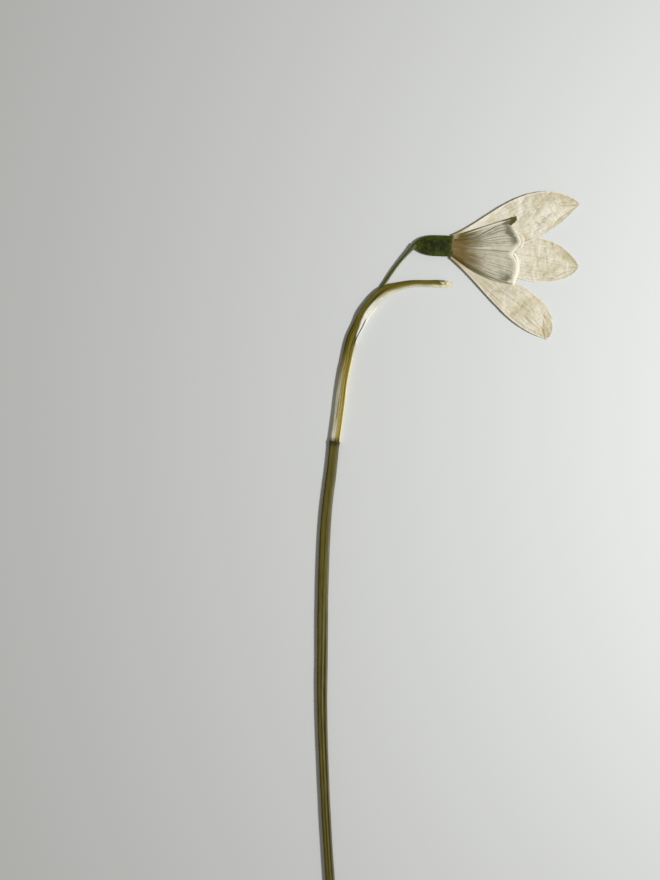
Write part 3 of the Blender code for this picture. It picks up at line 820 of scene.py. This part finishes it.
def make_scape(sizes, material):
    """A flattened section carried along the scape's route. Its height falls off as the eighth power of the
    place across, so its top is nearly level and its sides steep, and it is cut off level at the surface it
    lies on. A ridge between two grooves wanders along the top, and the stalk swells at the node."""
    route, u, left = smooth_route(from_node(SCAPE_ROUTE), SCAPE_GRID[0])
    turn = section(SCAPE_GRID[1])
    half = through(SCAPE_HALF_WIDTH, u) + 0.08 * smooth(0.016, 0.0, u)
    half = half * (1 + 0.02 * noise(u * 24, 0 * u, 3))
    across = np.cos(turn) + 0 * u
    above = smooth(-0.1, 0.35, np.sin(turn))
    at = through(RIDGE_PLACE, u) + 0.05 * noise(u * 9, 0 * u, 5)
    ridge_and_highlight = through(RIDGE_STRENGTH, u) * line(across - at, 0.13)
    apart = 0.45 - 0.12 * smooth(0.34, 0.42, u)
    fibres = noise(across * 8 + 2 * at, u * 26, 12)
    groove = through(RIGHT_GROOVE, u) * line(across - at + 0.34, 0.16) + 0.22 * fibres
    groove = np.clip(groove + through(LEFT_GROOVE, u) * line(across - at - apart, 0.2), 0, 1.2) * above
    level = (1 - np.abs(across) ** 8) ** 0.4 * np.sign(np.sin(turn))
    high = 0.5 * level + sizes.groove / MM * above * (0.5 * ridge_and_highlight - 0.7 * groove)
    rings = beside(route, left, half * across)
    rings[..., 2] = np.maximum(0.0, 0.38 + high * (1 + 0.14 * smooth(0.012, 0.0, u)))
    band = line(u - 0.004, 0.007)
    # A greyish waxy film and painted sheen: the left flank, which faces away from the light, is painted
    # lighter and greyer.
    bloom_and_sheen = 0.9 * smooth(0.4, 0.75, across) * (0.7 + 0.3 * noise(u * 30, across * 3, 4))
    # The grooves are painted dark, standing for the shade in them, over random fibres, a dark band at the
    # node and a darker right edge; the rib between them is painted light as its highlight.
    marks = {
        "groove": np.clip(0.72 * groove + 0.7 * band + 0.5 * smooth(-0.65, -0.95, across), 0, 0.9),
        "ridge_and_highlight": np.clip(0.7 * ridge_and_highlight + 0.25 * np.clip(fibres, 0, 1), 0, 0.8) * above * (1 - band),
        "bloom_and_sheen": np.clip(bloom_and_sheen, 0, 0.8),
    }
    closed_tube("scape_stalk", rings, marks, material=material, node="scape", slot="dried_stalk")


def make_pedicel(material):
    """A thin, slightly flattened and ribbed section that twists as it is carried along the pedicel's
    route."""
    route, u, left = smooth_route(from_node(PEDICEL_ROUTE), PEDICEL_GRID[0])
    turn = section(PEDICEL_GRID[1])
    radius = PEDICEL_RADIUS * (1 + 0.06 * noise(u * 16, 0 * u, 2) + 0.3 * smooth(0.96, 1.0, u))
    radius = radius * (1 + 0.05 * np.cos(3 * turn + 9 * u))
    rings = beside(route, left, radius * np.cos(turn))
    rings[..., 2] += 0.92 * radius * np.sin(turn)
    marks = {
        # The left half, away from the light, is painted darker as shade, over random streaks.
        "groove": np.clip(0.34 * smooth(0.1, 0.9, np.cos(turn)) + 0.3 * noise(turn * 3, u * 30, 7), 0, 0.8),
        # The right side, which faces the light, gets a painted highlight.
        "ridge_and_highlight": 0.8 * smooth(-0.35, -0.85, np.cos(turn)) * smooth(0.97, 0.9, u),
        "bloom_and_sheen": 0.0,
    }
    closed_tube("pedicel_thread", rings, marks, material=material, node="pedicel", slot="dried_stalk")


def make_ovary(material):
    """A bullet: round where the pedicel joins and flat at the mouth. Its half width is the square root of a
    quarter sine wave. Its height is an oval cut off level underneath, with wrinkles."""
    axis, side = directions(OVARY_DEGREES)
    share, _ = grid(*OVARY_GRID)
    u = share**1.5
    turn = section(OVARY_GRID[1])
    across = np.cos(turn)
    bullet = np.maximum(0.12, np.sqrt(np.sin(np.minimum(1.0, u / 0.55) * math.pi / 2)))
    wrinkles = 0.03 * noise(u * 12, across * 4, 6) + 0.022 * noise(u * 26, across * 9, 9)
    wrinkles = wrinkles * smooth(0.0, 0.15, u) * smooth(1.0, 0.9, u)
    swell = bullet * (1 + wrinkles) - 0.04 * line(u - 0.955, 0.015)
    along = OVARY_LENGTH * (u - 1) + 0.17 * across * smooth(0.8, 1.0, u)
    beside_axis = OVARY_HALF_WIDTH * bullet * (1 + 0.01 * noise(u * 9, 0 * u, 2)) * across
    rings = MOUTH + axis * along[..., None] + side * beside_axis[..., None]
    rings[..., 2] = np.maximum(0.0, 0.66 + 0.8 * swell * np.sin(turn))
    # The middle is painted darker, so the thin edges read lighter: painted light shining through them, with
    # random wrinkles over it.
    middle = smooth(0.95, 0.35, np.abs(across) * bullet) * smooth(0.06, 0.3, u) * smooth(1.0, 0.85, u)
    marks = {
        "dark_middle_and_wrinkles": np.clip(0.75 * middle + 0.5 * crumple(u * 16, across * 5, 14), 0, 1),
        "gold": 0.6 * smooth(0.2, 0.02, u) * (0.6 + 0.4 * noise(u * 40, turn * 5, 8)),
        "rim": 0.45 * smooth(0.985, 1.0, u) + 0.3 * smooth(0.95, 0.985, u),
    }
    closed_tube("ovary_capsule", rings, marks, material=material, node="ovary", slot="dried_ovary")


def make_spathe(sizes, material):
    """An arch carried along the spathe's route, open underneath. v runs from its right foot over the top to
    its left foot. Its width, and the edge of the green band that runs along it, follow smooth curves through
    knots, and its left foot lifts where the pedicel comes out. Its end is frayed."""
    route, u, left = smooth_route(from_node(SPATHE_ROUTE), SPATHE_GRID[0])
    _, v = grid(*SPATHE_GRID)
    turn = (1 - v) * math.pi / 2
    right = 0 * u - np.cos(turn)
    half = through(SPATHE_HALF_WIDTH, u) * (1 + 0.03 * noise(u * 22, np.sign(v) * 2.5, 7))
    half = half + 0.06 * smooth(0.01, 0.0, u)
    top = through(SPATHE_TOP, u)
    lifted = smooth(0.5, 0.57, u) * smooth(0.78, 0.71, u)
    foot = np.where(v > 0, 0.03 + 0.75 * lifted, 0.03) + 0.22 * smooth(0.94, 0.97, u)
    arch = np.sin(turn) ** (0.6 - 0.22 * smooth(0.8, 0.6, u) - 0.1 * smooth(0.35, 0.15, u))
    tip = smooth(0.935, 0.965, u)
    streak = noise(right * 4.3, u * 9, 15) + 0.7 * noise(right * 9, u * 17, 16)
    flecks = noise(right * 4, u * 95, 31) + 0.5 * noise(right * 9, u * 160, 32)
    ragged = 0.1 * noise(u * 26, v * 2, 4) + 0.12 * streak * smooth(0.4, 0.55, u) * smooth(0.75, 0.65, u)

    bleached = smooth(0.45, -0.75, right) * smooth(0.38, 0.14, u + 0.06 * streak)
    bleached = bleached * (0.85 + 0.25 * streak - 0.8 * line(right + 0.35, 0.14) * line(u - 0.13, 0.07))
    band_edge = through(BAND_EDGE, u)
    soft = 0.12 + 0.3 * smooth(0.6, 0.7, u)
    opened = smooth(band_edge - soft, band_edge + soft, right + ragged)
    opened = opened * (1 - 0.18 * smooth(0.6, 0.64, u) - 0.14 * smooth(0.72, 0.78, u))
    frayed = smooth(0.4, 0.9, right + 0.5 * flecks) * smooth(0.9, 0.95, u)
    frayed = frayed + smooth(0.95, 0.98, u + 0.02 * flecks)
    frayed = frayed * (1 - 0.6 * line(np.abs(right) - 0.75, 0.2) * line(u - 0.965, 0.02))
    green = np.clip(1 - 0.97 * bleached - opened - frayed, 0, 1)
    hair = line(right - 0.74 + 0.12 * smooth(0.5, 0.56, u), 0.1)
    hair = hair * smooth(0.425, 0.44, u) * smooth(0.57, 0.53, u)
    crease = line(right + 0.2, 0.12) * line(u - 0.665, 0.05)

    swell = top - foot + 0.025 * noise(v * 9, u * 12, 21) + 0.05 * (green - 0.5) + 0.02 * streak
    height = foot + swell * arch + 0.1 * tip * flecks
    middle = beside(route, left, -half * right)
    middle[..., 2] = np.maximum(height, sizes.sheath / MM / 2 + CLEARANCE)
    gold = 0.75 * smooth(0.45, 0.25, u) * (1 - 0.6 * bleached) + 0.3 * smooth(0.55, 0.4, u) + 0.25 * streak
    dark = 0.4 * np.clip(-streak, 0, 1) * (0.4 + 0.6 * green) + 1.4 * hair + 0.5 * crease
    dark = dark + 0.3 * line(right - 0.62, 0.12) * (1 - opened) + 0.75 * smooth(0.025, 0.0, u)
    # The right edge, which faces the light, gets a painted highlight; light streaks and the opened membrane
    # are added to it.
    pale_and_highlight = 0.95 * smooth(0.74, 0.84, right) * smooth(0.5, 0.44, u) * smooth(0.5, 0.35, u)
    pale_and_highlight = pale_and_highlight + 0.12 * np.clip(streak, 0, 1) * smooth(0.45, 0.3, u) + 0.5 * opened * smooth(0.62, 0.75, u)
    marks = {
        "green": green,
        "gold": np.clip(gold + 0.5 * smooth(0.64, 0.69, u) * smooth(-0.1, 0.3, right), 0, 1),
        "streak": np.clip(dark + 0.6 * tip * np.clip(-flecks, 0, 1), 0, 0.92),
        "rim": np.clip(pale_and_highlight + 0.9 * np.clip(frayed, 0, 1) * (0.6 + 0.4 * flecks), 0, 1),
    }
    thin_sheet(
        "spathe_sheath", middle, sizes.sheath / MM, marks,
        material=material, node="spathe", slot="dried_sheath",
    )


def make_stamen(number, v, material):
    """A thread-like filament that widens into a pointed anther with two pollen sacs and a furrow between
    them."""
    share, _ = grid(*STAMEN_GRID)
    start, span = STAMEN_REACH
    places, _ = fan(INNER_TEPALS["front"], start + span * share, np.full((1, 1), v))
    route = places[:, 0]
    heading = route[-1] - route[0]
    left = np.array((-heading[1], heading[0], 0.0)) / np.hypot(heading[0], heading[1])
    turn = section(STAMEN_GRID[1])
    sacs = smooth(0.15, 0.3, share)
    half = (0.1 + 0.12 * sacs) * (1 - 0.85 * smooth(0.3, 1.0, share))
    tall = 0.12 * (1 - 0.6 * smooth(0.5, 1.0, share)) * (1 - 0.35 * sacs * line(np.cos(turn), 0.3))
    rings = route[:, None] + left * (half * np.cos(turn))[..., None]
    rings[..., 2] = HEART_HEIGHT + tall * np.sin(turn)
    closed_tube(
        f"stamen_{number}_anther", rings, {}, material=material, node=f"stamen_{number}", slot="dried_stamen"
    )


def make_style(material):
    """A thin round rod that narrows at its tip."""
    share, _ = grid(*STYLE_GRID)
    start, span = STYLE_REACH
    places, _ = fan(INNER_TEPALS["front"], start + span * share, np.zeros((1, 1)))
    turn = section(STYLE_GRID[1])
    radius = 0.11 * (1 - 0.5 * smooth(0.9, 1.0, share)) * (1 + 0.05 * noise(share * 30, 0 * share, 2))
    rings = np.repeat(places, STYLE_GRID[1], axis=1)
    rings[..., 1] += radius * np.cos(turn)
    rings[..., 2] = HEART_HEIGHT + radius * np.sin(turn)
    closed_tube("style_rod", rings, {}, material=material, node="style", slot="dried_inner_tepal")


def sizes_and_colours():
    return bpy.context.scene.snowdrop_sizes, bpy.context.scene.snowdrop_colours


class SNOWDROP_OT_stalk(bpy.types.Operator):
    """Builds the scape"""

    bl_idname = "snowdrop.stalk"
    bl_label = "Scape"

    def execute(self, context):
        sizes, colours = sizes_and_colours()
        make_scape(sizes, dried_stalk(colours, "dried_stalk", colours.stalk, colours.stalk_pale_and_highlight))
        return {"FINISHED"}


class SNOWDROP_OT_pedicel(bpy.types.Operator):
    """Builds the pedicel"""

    bl_idname = "snowdrop.pedicel"
    bl_label = "Pedicel"

    def execute(self, context):
        _, colours = sizes_and_colours()
        make_pedicel(dried_stalk(colours, "dried_pedicel", colours.thread, colours.thread_highlight))
        return {"FINISHED"}


class SNOWDROP_OT_sheath(bpy.types.Operator):
    """Builds the spathe"""

    bl_idname = "snowdrop.sheath"
    bl_label = "Spathe"

    def execute(self, context):
        sizes, colours = sizes_and_colours()
        make_spathe(sizes, dried_sheath(colours))
        return {"FINISHED"}


class SNOWDROP_OT_ovary(bpy.types.Operator):
    """Builds the ovary"""

    bl_idname = "snowdrop.ovary"
    bl_label = "Ovary"

    def execute(self, context):
        _, colours = sizes_and_colours()
        make_ovary(dried_ovary(colours))
        return {"FINISHED"}


class SNOWDROP_OT_outer_tepals(bpy.types.Operator):
    """Builds the outer tepals"""

    bl_idname = "snowdrop.outer_tepals"
    bl_label = "Outer tepals"

    def execute(self, context):
        sizes, colours = sizes_and_colours()
        tissue = dried_petal(colours)
        for which in OUTER_TEPALS:
            make_outer_tepal(which, sizes, tissue)
        return {"FINISHED"}


class SNOWDROP_OT_inner_tepals(bpy.types.Operator):
    """Builds the inner tepals"""

    bl_idname = "snowdrop.inner_tepals"
    bl_label = "Inner tepals"

    def execute(self, context):
        sizes, colours = sizes_and_colours()
        tissue = dried_inner_petal(colours)
        for which in INNER_TEPALS:
            make_inner_tepal(which, sizes, tissue)
        return {"FINISHED"}


class SNOWDROP_OT_stamens(bpy.types.Operator):
    """Builds the stamens and the style"""

    bl_idname = "snowdrop.stamens"
    bl_label = "Stamens and style"

    def execute(self, context):
        _, colours = sizes_and_colours()
        pollen = dried_dust("dried_anther", colours.anther, 1 / 9)
        for number, v in enumerate(STAMEN_FAN, 1):
            make_stamen(number, v, pollen)
        make_style(dried_dust("dried_style", colours.style, 1 / 6))
        return {"FINISHED"}


class SNOWDROP_OT_stage(bpy.types.Operator):
    """Lays the floor and sets up the lights and the camera"""

    bl_idname = "snowdrop.stage"
    bl_label = "Floor, lights and camera"

    def execute(self, context):
        _, colours = sizes_and_colours()
        scene = context.scene
        reach = FLOOR_SIDE / 2
        corners = ((-reach, -reach), (reach, -reach), (reach, reach), (-reach, reach))
        mesh = bpy.data.meshes.new("floor")
        mesh.from_pydata([(x, y, -FLOOR_DROP) for x, y in corners], [], [(0, 1, 2, 3)])
        mesh.materials.append(pale_card(colours))
        floor = bpy.data.objects.new("floor", mesh)
        scene.collection.objects.link(floor)

        world = bpy.data.worlds.new("studio")
        world.use_nodes = True
        background = world.node_tree.nodes["Background"].inputs
        background["Color"].default_value = SHADOW_TINT
        background["Strength"].default_value = 0.26
        scene.world = world

        window = bpy.data.lights.new("window", "AREA")
        window.shape = "DISK"
        window.size = 0.04
        window.energy = 0.69
        window.color = (1.0, 0.985, 0.955)
        lamp = bpy.data.objects.new("window", window)
        azimuth, elevation = (math.radians(angle) for angle in WINDOW_DEGREES)
        level = WINDOW_DISTANCE * math.cos(elevation)
        lamp.location = (
            WINDOW_AIM[0] + level * math.cos(azimuth),
            WINDOW_AIM[1] + level * math.sin(azimuth),
            WINDOW_DISTANCE * math.sin(elevation),
        )
        lamp.rotation_euler = (0.0, math.pi / 2 - elevation, azimuth)
        scene.collection.objects.link(lamp)

        camera = bpy.data.objects.new("camera", bpy.data.cameras.new("camera"))
        camera.data.lens = 85.0
        camera.data.clip_start = 0.01
        camera.location = CAMERA_PLACE
        scene.collection.objects.link(camera)
        scene.camera = camera
        scene.view_settings.view_transform = "Standard"
        return {"FINISHED"}


class SNOWDROP_PT_panel(bpy.types.Panel):
    """Lists the sizes, the colours and the pieces"""

    bl_idname = "SNOWDROP_PT_panel"
    bl_label = "Pressed Snowdrop"
    bl_space_type = "VIEW_3D"
    bl_region_type = "UI"
    bl_category = "Snowdrop"

    def draw(self, context):
        for group in (context.scene.snowdrop_sizes, context.scene.snowdrop_colours):
            for label in group.__annotations__:
                self.layout.prop(group, label)
        for operator in OPERATORS:
            self.layout.operator(operator.bl_idname)


OPERATORS = (
    SNOWDROP_OT_stalk,
    SNOWDROP_OT_pedicel,
    SNOWDROP_OT_sheath,
    SNOWDROP_OT_ovary,
    SNOWDROP_OT_outer_tepals,
    SNOWDROP_OT_inner_tepals,
    SNOWDROP_OT_stamens,
    SNOWDROP_OT_stage,
)
CLASSES = (SnowdropSizes, SnowdropColours, *OPERATORS, SNOWDROP_PT_panel)


def register():
    for made in CLASSES:
        bpy.utils.register_class(made)
    bpy.types.Scene.snowdrop_sizes = bpy.props.PointerProperty(type=SnowdropSizes)
    bpy.types.Scene.snowdrop_colours = bpy.props.PointerProperty(type=SnowdropColours)


def unregister():
    del bpy.types.Scene.snowdrop_colours
    del bpy.types.Scene.snowdrop_sizes
    for made in reversed(CLASSES):
        bpy.utils.unregister_class(made)


def main():
    register()
    bpy.ops.snowdrop.stalk()
    bpy.ops.snowdrop.pedicel()
    bpy.ops.snowdrop.sheath()
    bpy.ops.snowdrop.ovary()
    bpy.ops.snowdrop.outer_tepals()
    bpy.ops.snowdrop.inner_tepals()
    bpy.ops.snowdrop.stamens()
    bpy.ops.snowdrop.stage()


if __name__ == "__main__":
    main()
